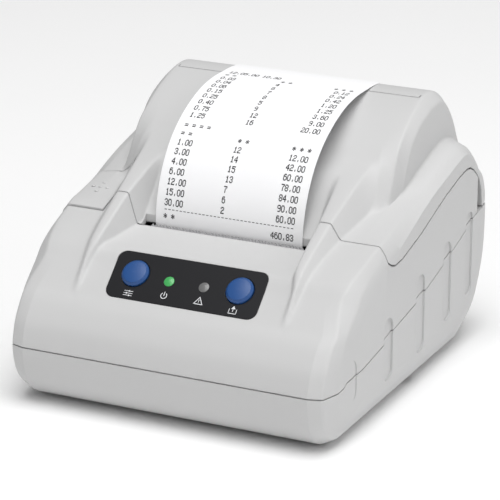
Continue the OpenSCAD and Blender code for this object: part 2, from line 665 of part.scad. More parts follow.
module platen_holder() {
  color([0.25, 0.25, 0.27]) difference() {
    union() {
      both_sides() union() {
        rod(30.2, 31.8, platen_y, platen_z, 4);
        block([30.2, platen_y - 3, platen_z], [31.8, platen_y + 7, 57]);
      }
      block([-31.8, platen_y - 3, 55], [31.8, platen_y + 7, 57]);
    }
    rod(-40, 40, platen_y, platen_z, shaft_r + run);
  }
}

// ---- paper ----------------------------------------------------------------------------
bin_r = 23;
module paper_bin() {
  color([0.3, 0.3, 0.32]) difference() {
    union() {
      difference() {
        across([[-4, 38], [6, 36.4], [60, 36.4], [60, 62], [56, 62], [-4, 46]], -32.4, 32.4);
        rod(-30.6, 30.6, roll_y, roll_z, bin_r);
        across([[-6, 39.6], [8, 40.6], [22, 42], [roll_y, roll_z - bin_r], [roll_y, 80], [-6, 80]],
          -30.6, 30.6);
      }
    }
    // hollow underneath, so that the trough keeps an even wall
    difference() {
      across([[-8, 30], [58, 30], [58, 60], [54, 60], [44, 44], [roll_y, 41.2], [8, 38.8], [-8, 37.8]],
        -29, 29);
      rod(-40, 40, roll_y, roll_z, bin_r + 1.8);
    }
  }
}
module paper_roll() {
  color([0.95, 0.95, 0.95]) difference() {
    rod(-paper_w / 2, paper_w / 2, roll_y, roll_z, roll_r);
    rod(-40, 40, roll_y, roll_z, core_r + fit);
  }
}
module roll_core() {
  color([0.72, 0.6, 0.45]) difference() {
    rod(-paper_w / 2, paper_w / 2, roll_y, roll_z, core_r);
    rod(-40, 40, roll_y, roll_z, core_r - 1);
  }
}
module paper_web() {
  color([0.96, 0.96, 0.96]) ribbon(web_line, paper_t);
}
module receipt() {
  color([0.97, 0.97, 0.97]) ribbon(print_line, paper_t);
}

// ---- electronics -------------------------------------------------------------------------
module main_board() {
  color([0.1, 0.4, 0.25]) difference() {
    block([-45, 2, 8], [45, 55.6, board_top]);
    for (p = board_posts) translate([p[0], p[1], 0]) cylinder(r = screw_r + 0.2, h = 30);
    both_sides() for (y = shelf_y) block([27.6, y - 0.4, 7], [31.4, y + 3.4, 11]);
  }
}
module board_chips() {
  color([0.12, 0.12, 0.13]) union() {
    block([-8, 20, board_top], [6, 34, board_top + 1.6]);
    block([14, 24, board_top], [24, 30, board_top + 1.4]);
    block([-26, 16, board_top], [-18, 22, board_top + 1.4]);
    translate([20, 14, board_top]) cylinder(r = 4, h = 11);
    translate([-16, 12, board_top]) cylinder(r = 3.1, h = 9);
    block([-23, 3.6, board_top], [1, 7.4, board_top + 2]);
  }
}
module power_jack() {
  color([0.1, 0.1, 0.11]) difference() {
    union() {
      block([jack_x - 4.5, 47, board_top], [jack_x + 4.5, 58.2, board_top + 11]);
      translate([jack_x, 58.1, board_top + 5.5]) rotate([-90, 0, 0]) cylinder(r = 4.4, h = 5.1);
    }
    difference() {
      translate([jack_x, 53, board_top + 5.5]) rotate([-90, 0, 0]) cylinder(r = 3, h = 20);
      translate([jack_x, 52, board_top + 5.5]) rotate([-90, 0, 0]) cylinder(r = 1.05, h = 10);
    }
  }
}
module data_port() {
  color([0.7, 0.7, 0.72]) difference() {
    block([data_x - 6, 47, board_top], [data_x + 6, 63.2, board_top + 11]);
    difference() {
      block([data_x - 4.2, 54, board_top + 1.6], [data_x + 4.2, 70, board_top + 9.4]);
      block([data_x - 3.4, 50, board_top + 6.7], [data_x + 3.4, 62, board_top + 8.2]);
    }
  }
}
module drawer_port() {
  color([0.12, 0.12, 0.13]) difference() {
    block([drawer_x - 6.5, 48, board_top], [drawer_x + 6.5, 63.2, board_top + 10.2]);
    block([drawer_x - 4.9, 53, board_top + 1.4], [drawer_x + 4.9, 70, board_top + 7.8]);
    block([drawer_x - 2, 53, board_top + 7], [drawer_x + 2, 70, board_top + 9.2]);
  }
}
rocker_z = 17.25;
rocker_axis_y = 60.4;
module switch_housing() {
  color([0.1, 0.1, 0.11]) difference() {
    union() {
      block([rocker_x - 6.5, 52, 12.2], [rocker_x + 6.5, 63.2, 22.3]);
      block([rocker_x - 7.6, 63.05, 11.1], [rocker_x + 7.6, 64.3, 23.4]);
    }
    block([rocker_x - 5.2, 56, 13.2], [rocker_x + 5.2, 70, 21.3]);
    rod(rocker_x - 6, rocker_x + 6, rocker_axis_y, rocker_z, 1 + run);
  }
}
module power_rocker() {
  color([0.1, 0.1, 0.11]) union() {
    intersection() {
      across([[57.6, 14.6], [57.6, 19.9], [64.2, 20.8], [64.9, 17.1], [66.2, 14.4]],
        rocker_x - 4.9, rocker_x + 4.9);
      rod(rocker_x - 5, rocker_x + 5, rocker_axis_y, rocker_z, 7);
    }
    rod(rocker_x - 5.9, rocker_x + 5.9, rocker_axis_y, rocker_z, 1);
  }
}
module buzzer() {
  color([0.1, 0.1, 0.11]) translate([34, 34, board_top]) difference() {
    cylinder(r = 5, h = 5.5);
    translate([0, 0, 3]) cylinder(r = 1, h = 5);
  }
}

// ---- feet and screws -----------------------------------------------------------------------
module rubber_feet() {
  color([0.15, 0.15, 0.15]) for (p = feet) translate([p[0], p[1], 0]) cylinder(r = 5.5, h = foot_h);
}
module screw(length) {
  cylinder(r = screw_r, h = length);
  translate([0, 0, -1.6]) difference() {
    cylinder(r = 2.6, h = 1.6);
    translate([-2, -0.35, -eps]) cube([4, 0.7, 0.8]);
    translate([-0.35, -2, -eps]) cube([0.7, 4, 0.8]);
  }
}
module case_screws() {
  color([0.7, 0.7, 0.72]) for (p = case_posts) translate([p[0], p[1], p[2] - 5]) screw(12);
}
module mechanism_screws() {
  color([0.7, 0.7, 0.72]) for (p = frame_posts) translate([p[0], p[1], frame_foot_z + 1.6])
    mirror([0, 0, 1]) screw(9);
}
module board_screws() {
  color([0.7, 0.7, 0.72]) for (p = board_posts) translate([p[0], p[1], board_top])
    mirror([0, 0, 1]) screw(5);
}

lower_case();
upper_case();
lid();
release_lever();
lever_pin();
latch_hook();
lever_spring();
hinge_pins();
control_panel();
set_button();
feed_button();
power_led();
error_led();
panel_board();
panel_switches();
tear_bar();
mechanism_frame();
print_head();
heat_sink();
head_springs();
head_ribbon();
paper_sensor();
stepper_motor();
motor_pinion();
idler_gear();
idler_pin();
platen_roller();
platen_shaft();
platen_bearings();
platen_gear();
platen_holder();
paper_bin();
paper_roll();
roll_core();
paper_web();
receipt();
main_board();
board_chips();
power_jack();
data_port();
drawer_port();
switch_housing();
power_rocker();
rubber_feet();
case_screws();
mechanism_screws();
board_screws();
buzzer();
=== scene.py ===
import json
import math

import bmesh
import bpy
from mathutils import Matrix, Vector


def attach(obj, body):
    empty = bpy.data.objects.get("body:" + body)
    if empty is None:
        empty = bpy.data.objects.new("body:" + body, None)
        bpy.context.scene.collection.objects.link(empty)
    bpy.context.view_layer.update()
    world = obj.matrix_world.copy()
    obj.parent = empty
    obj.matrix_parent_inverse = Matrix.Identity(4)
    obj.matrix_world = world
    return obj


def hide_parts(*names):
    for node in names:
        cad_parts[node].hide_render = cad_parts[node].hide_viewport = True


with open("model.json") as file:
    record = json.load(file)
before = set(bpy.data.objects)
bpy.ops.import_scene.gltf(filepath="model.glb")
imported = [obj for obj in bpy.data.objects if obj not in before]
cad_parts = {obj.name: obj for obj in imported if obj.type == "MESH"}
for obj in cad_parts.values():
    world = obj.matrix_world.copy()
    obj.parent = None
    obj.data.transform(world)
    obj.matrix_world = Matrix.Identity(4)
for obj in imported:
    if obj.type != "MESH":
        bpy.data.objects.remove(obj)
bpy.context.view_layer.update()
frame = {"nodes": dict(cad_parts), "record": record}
nodes = frame["nodes"]
MM = 0.001
BASE_Z = 1.0
HALF_W = 63.4
WALL = 2.2
# planes that lie outside the printer on every side, for the cutting tools
FAR, REAR, SKY = 200, 80, 140


# ---- the outer shape -------------------------------------------------------------
# Every rail is the same list of points, taken round the printer in the Y-Z plane.
NOSE = [(-59, BASE_Z), (-66, 4), (-70.5, 9.5), (-72.6, 16.5), (-73, 21.8), (-72.3, 25.2),
        (-70.7, 30), (-67.8, 34.3), (-64.6, 38), (-60.6, 41.2)]
TAIL = [(67.6, 63), (71.2, 57), (72.6, 50), (73, 44), (72.3, 34), (69.9, 25.8), (64.3, 13),
        (59.8, 7.5), (53, 3.2), (47, BASE_Z)]
TOP_Y = [-52, -46.6, -38.2, -26, -22.5, -19, -14, -8, -2.5, 1.5, 5.5, 10, 17, 25, 35.4, 44,
         50, 56, 61, 65]
MID = [49, 53.9, 54.8, 56.1, 56.6, 60.5, 66.3, 73, 77.6, 79.3, 81.4, 84.8, 89.4, 93.7,
       97.4, 97.7, 95.4, 90.8, 84.5, 76]
RIDGE = [51.4, 56.6, 61.3, 67.4, 69, 70.5, 72.7, 75.3, 77.6, 79.3, 81.4, 84.8, 89.4, 93.7,
         97.4, 97.7, 95.4, 90.8, 84.5, 76]
VALLEY = [49, 53.9, 57.9, 61.8, 62.6, 63.4, 64.6, 66, 71, 77, 81.2, 84.8, 89.4, 93.7,
          97.4, 97.7, 95.4, 90.8, 84.5, 76]
BULGE = [49, 53.9, 57.9, 61.8, 62.6, 63.4, 64.6, 66, 67.5, 71.3, 78, 84.2, 89.4, 93.7,
         97.4, 97.7, 95.4, 90.8, 84.5, 76]
EDGE = [49, 53.9, 57.9, 61.8, 62.6, 63.4, 64.6, 66, 67.3, 68.2, 69.1, 72.7, 84.6, 90.2,
        93.6, 94.3, 91, 84.2, 75.4, 69.4]
SHOULDER = [49, 53.9, 57.9, 61.8, 62.6, 63.4, 64.6, 66, 67.3, 68.2, 69.1, 70.1, 72.4, 74.9,
            77.8, 79.4, 79, 76.8, 73.2, 68.6]
SIDE = [(-44, 14), (-45, 15.5), (-46, 17), (-46.5, 19), (-47, 21.8), (-47, 25.2), (-47, 30),
        (-47, 34.3), (-47, 38), (-46.8, 40.5), (-46.4, 43), (-43.6, 46.4), (-37.4, 50.6),
        (-26, 55.6), (-22.5, 56.5), (-19, 57.5), (-14, 59.1), (-8, 61.3), (-2.5, 63.3),
        (1.5, 64.8), (5.5, 66.2), (10, 67.6), (17, 69.6), (25, 71.4), (35.4, 73.8), (43, 75.2),
        (48, 74.4), (52.4, 71.6), (56, 68), (58.5, 64), (60.5, 60), (62, 55), (62.5, 50),
        (62.4, 44), (61.6, 34), (60, 27), (56, 20), (52, 16.5), (46, 14.6), (38, 14)]
N = len(SIDE)
TOP_START = len(NOSE)
TOP_END = TOP_START + len(TOP_Y)
# points of the underside: before the first of these, and from the second on
LOW_FRONT, LOW_REAR = 3, 35


def lerp(a, b, t):
    return a + (b - a) * t


def outline(heights):
    return NOSE + list(zip(TOP_Y, heights)) + TAIL


def on_top(i):
    return TOP_START <= i < TOP_END


def zone(i):
    """0 on the nose and the tail, 1 on the top, 2 on the underside"""
    if i < LOW_FRONT or i >= LOW_REAR:
        return 2
    return 1 if on_top(i) else 0


def ramp(y, table):
    """piecewise straight line through (y, value) pairs"""
    if y <= table[0][0]:
        return table[0][1]
    for (y0, v0), (y1, v1) in zip(table, table[1:]):
        if y <= y1:
            return lerp(v0, v1, (y - y0) / (y1 - y0))
    return table[-1][1]


def rail(heights, x_of, weights=(0, 0, 0), top_weight=None):
    """one line of (x, y, z) points, drawn towards the side profile by the weights"""
    pts = []
    for i, (y, z) in enumerate(outline(heights)):
        w = ramp(y, top_weight) if top_weight and on_top(i) else weights[zone(i)]
        wy = weights[0] if zone(i) == 2 else w
        if on_top(i):
            x = ramp(y, x_of)
        else:
            x = x_of[0][1] if i < TOP_START else x_of[-1][1]
        sy, sz = SIDE[i]
        pts.append(Vector((x, lerp(y, sy, wy), lerp(z, sz, w))))
    return pts


RAILS = [
    rail(MID, [(0, 0)]),
    rail(MID, [(-50, 38.5), (-46, 37), (-22.5, 33.2), (-8, 33), (0, 33)]),
    rail(RIDGE, [(-50, 39.6), (-46, 37.6), (-26, 37.2), (-6, 35.2), (10, 34)]),
    rail(RIDGE, [(-56, 40.4), (-26, 41.6), (10, 44), (35, 44)]),
    rail(VALLEY, [(-56, 41.6), (-26, 45.2), (-2.5, 48.4), (5.5, 46.4), (10, 45), (35, 46)]),
    rail(BULGE, [(-56, 44.5), (-26, 48.2), (-8, 50.5), (2, 52), (18, 50.4), (35, 49.6)]),
    rail(EDGE, [(-56, 51.6), (1, 52.6), (8, 53.4), (35, 53.4)]),
    rail(SHOULDER, [(-56, 51.9), (1, 52.9), (8, 53.7), (35, 53.7)]),
    rail(SHOULDER, [(-60, 55.4), (-52, 57), (-43, 58.5), (-38, 59.2), (-26, 59.9), (65, 59.9)],
         (0.06, 0, 0.19), [(-26, 0.0), (-14, 0.12), (0, 0.34), (60, 0.42)]),
    rail(SHOULDER, [(-56, 61.9), (65, 62)], (0.36, 0.44, 0.6),
         [(-56, 0.42), (-26, 0.44), (-14, 0.6), (0, 0.72), (60, 0.74)]),
    rail(SHOULDER, [(0, HALF_W)], (1, 1, 1), [(0, 1)]),
]
# the lower front corner and underside keep their own widths
for k, x in ((5, 49.6), (6, 54.4), (7, 54.6), (8, 59.6)):
    for i in range(N):
        if not on_top(i):
            RAILS[k][i].x = x


def curve(points, steps):
    """smooth closed curve; the slope at a point is held to its shorter neighbouring span"""
    out = []
    n = len(points)
    for i in range(n):
        p0, p1, p2, p3 = (points[(i + k - 1) % n] for k in range(4))
        span = (p2 - p1).length
        m1 = (p2 - p0).normalized() * min(span, (p1 - p0).length)
        m2 = (p3 - p1).normalized() * min(span, (p3 - p2).length)
        for s in range(steps):
            t = s / steps
            t2, t3 = t * t, t * t * t
            out.append(p1 * (2 * t3 - 3 * t2 + 1) + m1 * (t3 - 2 * t2 + t)
                       + p2 * (3 * t2 - 2 * t3) + m2 * (t3 - t2))
    return out


def soften(rails, reach, steps=3):
    """replaces each inner rail by a short curve, so that the creases are rounded"""
    out = [rails[0]]
    for a, b, c in zip(rails, rails[1:], rails[2:]):
        for s in range(steps + 1):
            t = s / steps
            row = []
            for p, q, r in zip(a, b, c):
                before = q + (p - q) * min(0.45, reach / max((p - q).length, 1e-6))
                after = q + (r - q) * min(0.45, reach / max((r - q).length, 1e-6))
                row.append(before.lerp(q, t).lerp(q.lerp(after, t), t))
            out.append(row)
    out.append(rails[-1])
    return out


def mesh_object(name, verts, faces):
    mesh = bpy.data.meshes.new(name)
    mesh.from_pydata([tuple(Vector(v) * MM) for v in verts], [], faces)
    mesh.validate()
    obj = bpy.data.objects.new(name, mesh)
    bpy.context.scene.collection.objects.link(obj)
    bm = bmesh.new()
    bm.from_mesh(mesh)
    bmesh.ops.recalc_face_normals(bm, faces=bm.faces)
    bm.to_mesh(mesh)
    bm.free()
    return obj


def loft(name, rails):
    """closed skin through the rails and their mirror images"""
    rows = [[Vector((-p.x, p.y, p.z)) for p in r] for r in reversed(rails[1:])] + rails
    n = len(rows[0])
    verts = [p for r in rows for p in r]
    faces = []
    for i in range(len(rows) - 1):
        for j in range(n):
            k = (j + 1) % n
            faces.append((i * n + j, (i + 1) * n + j, (i + 1) * n + k, i * n + k))
    faces.append(tuple(range(n)))
    last = (len(rows) - 1) * n
    faces.append(tuple(last + j for j in reversed(range(n))))
    obj = mesh_object(name, verts, faces)
    bm = bmesh.new()
    bm.from_mesh(obj.data)
    bmesh.ops.triangulate(bm, faces=[f for f in bm.faces if len(f.verts) > 4])
    bm.to_mesh(obj.data)
    bm.free()
    return obj


def inward(points, d):
    n = len(points)
    out = []
    for i, p in enumerate(points):
        t = points[(i + 1) % n] - points[(i - 1) % n]
        t.x = 0
        t.normalize()
        out.append(Vector((p.x, p.y + d * t.z, p.z - d * t.y)))
    return out


def tube_faces(n, flip=False):
    """two end caps and the band between them, for two rings of n points"""
    caps = [tuple(range(n)), tuple(reversed(range(n, 2 * n)))]
    if flip:
        caps = [c[::-1] for c in caps]
    return caps + [(j, (j + 1) % n, n + (j + 1) % n, n + j) for j in range(n)]


def prism(name, outline_yz, x0, x1):
    verts = [(x, y, z) for x in (x0, x1) for y, z in outline_yz]
    return mesh_object(name, verts, tube_faces(len(outline_yz)))


def block(lo, hi):
    return prism("block", [(lo[1], lo[2]), (hi[1], lo[2]), (hi[1], hi[2]), (lo[1], hi[2])],
                 lo[0], hi[0])


def circle(cy, cz, r, n=48):
    return [(cy + r * math.cos(2 * math.pi * i / n), cz + r * math.sin(2 * math.pi * i / n))
            for i in range(n)]


def rod(x0, x1, y, z, r):
    return prism("rod", circle(y, z, r), x0, x1)


def post(x, y, z0, z1, r):
    loop = circle(x, y, r)
    verts = [(a, b, z) for z in (z0, z1) for a, b in loop]
    return mesh_object("post", verts, tube_faces(len(loop)))


def placed(obj, matrix):
    obj.data.transform(matrix)
    return obj


def join_meshes(objs):
    bm = bmesh.new()
    for o in objs:
        bm.from_mesh(o.data)
    first = objs[0]
    bm.to_mesh(first.data)
    bm.free()
    for o in objs[1:]:
        bpy.data.objects.remove(o)
    return first


def combine(target, tool, operation, keep=False):
    mod = target.modifiers.new("cut", "BOOLEAN")
    mod.object = tool
    mod.operation = operation
    mod.solver = "MANIFOLD"
    deps = bpy.context.evaluated_depsgraph_get()
    done = bpy.data.meshes.new_from_object(target.evaluated_get(deps))
    target.modifiers.clear()
    old = target.data
    target.data = done
    bpy.data.meshes.remove(old)
    if not keep:
        bpy.data.objects.remove(tool)
    return target


def cut(target, tool, keep=False):
    return combine(target, tool, "DIFFERENCE", keep)


def add(target, tool):
    return combine(target, tool, "UNION")


def only(target, tool, keep=False):
    return combine(target, tool, "INTERSECT", keep)


def copy(obj):
    new = bpy.data.objects.new(obj.name + "_c", obj.data.copy())
    bpy.context.scene.collection.objects.link(new)
    return new


FINE = [curve(r, 4) for r in RAILS]
outer = loft("outer", soften(FINE, 0.9))
inner_rails = [inward(r, WALL) for r in RAILS]
# how far each inner rail stands beside its outer one, so that every flank keeps its wall
INNER_DX = (0, 1.8, 1.0, -1.3, -1.6, -1.6, -2.0, -2.0, -2.3, -2.2, -2.2)
for k, (r, dx) in enumerate(zip(inner_rails, INNER_DX)):
    for p in r:
        p.x += dx * ramp(p.y, [(-50, 0), (-38, 1)]) if 0 < k < 5 else dx
inner = loft("inner", inner_rails)
shell = cut(copy(outer), inner, keep=True)

# ---- the four visible mouldings --------------------------------------------------
PART_LINE = [(-80, 21.8), (-64, 21.8), (-60, 22.4), (-58.2, 23.6), (-48, 24.7), (-29.4, 27.2),
             (-27.6, 28.6), (-19.5, 30.3), (-0.8, 33.0), (1, 34.2), (9.1, 35.4), (23.6, 39.0),
             (25.4, 40.2), (34, 42.2), (45.4, 45.6), (47.2, 46.8), (55.3, 49), (62, 50), (80, 50)]
LID_LINE = [(-26, 56), (-23, 54.2), (-20, 53.3), (-14, 53.7), (2.1, 57.5), (11.7, 60.6),
            (25.9, 65.1), (38, 68), (45.4, 69.1), (49.3, 68.6), (52.5, 67), (56, 64.2), (58.8, 61),
            (60.7, 57), (61.8, 50.3), (80, 50.3)]
HINGE_Y, HINGE_Z, KNUCKLE, KNUCKLE_ROOM = 70.4, 50.2, 2.4, 0.35
LUG_IN, LUG_OUT, SEAM = 37, 43, 0.4
# the lid's seam is drawn a little wider than it is made, so that it reads as a dark line
LID_SEAM = 0.65
# the knuckles end at LID_END, and the room cut for them in the lower case at ROOM_END
LID_END, ROOM_END = 55.6, 62
SLOT_FRONT, SLOT_REAR, SLOT_HALF = -22.8, -20.6, 32.9
LEVER_IN, LEVER_FRONT, LEVER_REAR = -45.6, -29.6, -4.6
LEVER_PIN_Y, LEVER_PIN_Z, LEVER_BOSS = -7, 62.4, 1.9
LEVER_GAP, LEVER_SWING = 0.35, 1
BUTTON_X, BUTTON_HOLE, LAMP_X, LAMP_HOLE = 20.1, 5.3, 6.7, 1.92
SCREW_HEAD, SCREW_HOLE, BOARD_HOLE = 3, 1.7, 1.42
PANEL = (Matrix.Translation(Vector((0, -53.5, 47.6)) * MM)
         @ Matrix.Rotation(math.radians(42.2), 4, "X"))
FLUTES = [(-55.5, 15, 31, 8.4), (-25, 13, 36, 7.8), (3.6, 13.4, 42.6, 7.8), (28.6, 17, 47, 7.2),
          (49.6, 20, 52, 6.4)]


def shifted(line, dz):
    return [(y, z + dz) for y, z in line]


def capsule(y, z0, z1, r, n=12):
    """upright rounded slot outline in Y-Z"""
    top = [(y + r * math.cos(math.pi * i / n), z1 - r + r * math.sin(math.pi * i / n))
           for i in range(n + 1)]
    low = [(y - r * math.cos(math.pi * i / n), z0 + r - r * math.sin(math.pi * i / n))
           for i in range(n + 1)]
    return top + low


def panel_shape(hw, hh, r, z0, z1, n=8):
    """rounded rectangle standing on the sloping panel face"""
    loop = []
    for cx, cy, a0 in ((hw - r, hh - r, 0), (r - hw, hh - r, 90), (r - hw, r - hh, 180),
                       (hw - r, r - hh, 270)):
        for i in range(n + 1):
            a = math.radians(a0 + 90 * i / n)
            loop.append((cx + r * math.cos(a), cy + r * math.sin(a)))
    verts = [(x, y, z) for z in (z0, z1) for x, y in loop]
    return placed(mesh_object("panel_shape", verts, tube_faces(len(loop), flip=True)), PANEL)


def knuckle_spans(end):
    """the lid's three stretches of hinge, between and beside the two lugs"""
    return ((-end, -LUG_OUT - SEAM), (-LUG_IN + SEAM, LUG_IN - SEAM), (LUG_OUT + SEAM, end))


def cut_flutes(target):
    for y, z0, z1, w in FLUTES:
        for side in (1, -1):
            tool = prism("flute", capsule(y, z0, z1, w / 2), HALF_W - 0.7, HALF_W + 4)
            if side < 0:
                tool.data.transform(Matrix.Scale(-1, 4, (1, 0, 0)))
                tool.data.flip_normals()
            cut(target, tool)


# lower case
lower = copy(shell)
only(lower, prism("below", PART_LINE + [(REAR, -5), (-REAR, -5)], -FAR, FAR))
# walls and roof of the recess that the rear sockets stand in
for lo, hi in (((-49, 61, BASE_Z), (49, 63, 31)), ((-49, 61, 29), (49, 80, 31)),
               ((47, 61, BASE_Z), (49, 80, 31)), ((-49, 61, BASE_Z), (-47, 80, 31))):
    add(lower, only(block(lo, hi), outer, keep=True))
for s in (-1, 1):
    a, b = sorted((s * LUG_IN, s * LUG_OUT))
    add(lower, rod(a, b, HINGE_Y, HINGE_Z, KNUCKLE))
    add(lower, only(block((a, 69.4, 40), (b, 72.6, HINGE_Z)), outer, keep=True))
cut(lower, block((-47, 63, -1), (47, 90, 29)))
for a, b in knuckle_spans(ROOM_END):
    cut(lower, rod(a, b, HINGE_Y, HINGE_Z, KNUCKLE + KNUCKLE_ROOM))
# openings of the data socket, the drawer socket and the switch, then of the power inlet
for x, hw, z0, z1 in ((-13, 6.2, 9.6, 20.8), (10, 6.7, 9.6, 20), (33, 6.7, 12, 22.5)):
    cut(lower, block((x - hw, 50, z0), (x + hw, 80, z1)))
cut(lower, placed(post(0, 0, 0, 30, 4.6), Matrix.Translation(Vector((-33, 50, 15.1)) * MM)
                  @ Matrix.Rotation(math.radians(-90), 4, "X")))
# case screw bosses
for x, y, top in ((47, -50, 21.8), (56, 8, 35.2)):
    for side in (1, -1):
        add(lower, only(post(side * x, y, BASE_Z, top, 4.2), outer, keep=True))
        cut(lower, post(side * x, y, -1, top - 5, SCREW_HEAD))
        cut(lower, post(side * x, y, 0, top + 1, SCREW_HOLE))
# posts of the mechanism and of the main board
for x, y, top, r in ((39.5, -34, 17, 3.4), (39.5, -10, 17, 3.4), (41, 6, 8, 3), (41, 52, 8, 3)):
    for side in (1, -1):
        add(lower, post(side * x, y, 2, top, r))
        cut(lower, post(side * x, y, 3.6, top + 2, BOARD_HOLE))
cut_flutes(lower)

# upper case
upper = copy(shell)
only(upper, prism("above", shifted(PART_LINE, SEAM) + [(REAR, SKY), (-REAR, SKY)], -FAR, FAR))
cut(upper, prism("lid_room", LID_LINE + [(REAR, SKY), (-26, SKY)], -FAR, FAR))
cut(upper, block((-SLOT_HALF, SLOT_FRONT, 40), (SLOT_HALF, 0, 80)))
cut(upper, block((-FAR, 57, 30), (FAR, REAR, SKY)))
cut(upper, block((-FAR, LEVER_FRONT - LEVER_GAP, 51.6),
                 (LEVER_IN + LEVER_GAP, LEVER_REAR + LEVER_SWING, 90)))
cut(upper, panel_shape(29, 9.3, 3.4, -0.5, 6))
for side in (-1, 1):
    cut(upper, placed(post(side * BUTTON_X, 0.9, -20, 10, BUTTON_HOLE), PANEL))
    cut(upper, placed(post(side * LAMP_X, 0, -20, 10, LAMP_HOLE), PANEL))
# front lip of the slot
add(upper, only(block((-32.5, SLOT_FRONT - 2.2, 51.7), (32.5, SLOT_FRONT + 0.1, 55)), outer,
                keep=True))
# floor of the lever recess and the carriers of its pin
add(upper, only(block((-62.3, -28, 49.7), (-46.4, -5, 51.3)), outer, keep=True))
for x in (-58, -49.6):
    add(upper, prism("carrier", [(-18, 50.5), (LEVER_PIN_Y + LEVER_BOSS, 50.5),
                                 (LEVER_PIN_Y + LEVER_BOSS, LEVER_PIN_Z),
                                 (LEVER_PIN_Y - LEVER_BOSS, LEVER_PIN_Z), (-11, 56)], x, x + 2))
    add(upper, rod(x, x + 2, LEVER_PIN_Y, LEVER_PIN_Z, LEVER_BOSS))
cut(upper, rod(-59, -47, LEVER_PIN_Y, LEVER_PIN_Z, 1.06))
cut_flutes(upper)

# lid
lid = copy(shell)
only(lid, prism("above", shifted(LID_LINE, LID_SEAM) + [(REAR, SKY), (-26, SKY)], -FAR, FAR))
cut(lid, block((-FAR, -40, 0), (FAR, -25.6, SKY)))
cut(lid, block((-SLOT_HALF, -40, 0), (SLOT_HALF, SLOT_REAR, SKY)))
cut(lid, rod(-FAR, FAR, HINGE_Y, HINGE_Z, KNUCKLE + 0.3))
for a, b in knuckle_spans(LID_END):
    add(lid, rod(a, b, HINGE_Y, HINGE_Z, KNUCKLE))
    add(lid, prism("web", [(69, HINGE_Z + 0.6), (72.3, HINGE_Z + 0.4), (71.3, 56), (69, 57)],
                   a, b))
for s in (-1, 1):
    a, b = sorted((s * 24, s * 27))
    add(lid, only(prism("rib", [(-20.5, 57.2), (-9, 57.2), (-9, 69.5), (-20.5, 59.5)], a, b),
                  outer, keep=True))
    a, b = sorted((s * (LUG_IN - SEAM), s * (LUG_OUT + SEAM)))
    cut(lid, rod(a, b, HINGE_Y, HINGE_Z, KNUCKLE + KNUCKLE_ROOM))
cut(lid, block((-FAR, -40, 0), (LEVER_IN + LEVER_GAP, LEVER_REAR + LEVER_SWING, SKY)))
# fine groove along the crest, hooked at both ends
cut(lid, block((-48.4, 35.0, 96.85), (48.4, 35.36, 99)))
for s in (-1, 1):
    a, b = sorted((s * 48.1, s * 48.45))
    cut(lid, block((a, 35.1, 96.85), (b, 37.2, 99)))

# release lever: the same shape as the shoulder it replaces, standing a little proud of it
lever = copy(outer)
lever.data.transform(Matrix.Translation((0, 0, 0.0006)))
under = copy(inner)
under.data.transform(Matrix.Translation((0, 0, 0.0004)))
cut(lever, under)
only(lever, prism("kept", [(-27.4, 52.1), (-28.8, 56.4), (LEVER_FRONT, 59.6), (LEVER_FRONT, 90),
                           (LEVER_REAR - 0.4, 90), (LEVER_REAR - 0.4, 66.2), (LEVER_REAR, 65.2),
                           (LEVER_REAR, 64.3), (-14, 61.6), (-14, 52.1)],
                  -HALF_W - 1, LEVER_IN))
add(lever, rod(-55.4, -50.2, LEVER_PIN_Y, LEVER_PIN_Z, LEVER_BOSS))
for x in (-55.4, -52.2):
    add(lever, block((x, LEVER_PIN_Y - 1.5, LEVER_PIN_Z), (x + 2, LEVER_PIN_Y + 1.2, 65)))
cut(lever, rod(-59, -47, LEVER_PIN_Y, LEVER_PIN_Z, 1.02))

for o in (outer, inner, shell):
    bpy.data.objects.remove(o)


# ---- materials -------------------------------------------------------------------
def nodes_of(name):
    mat = bpy.data.materials.new(name)
    mat.use_nodes = True
    tree = mat.node_tree
    bsdf = tree.nodes["Principled BSDF"]
    return mat, tree, bsdf


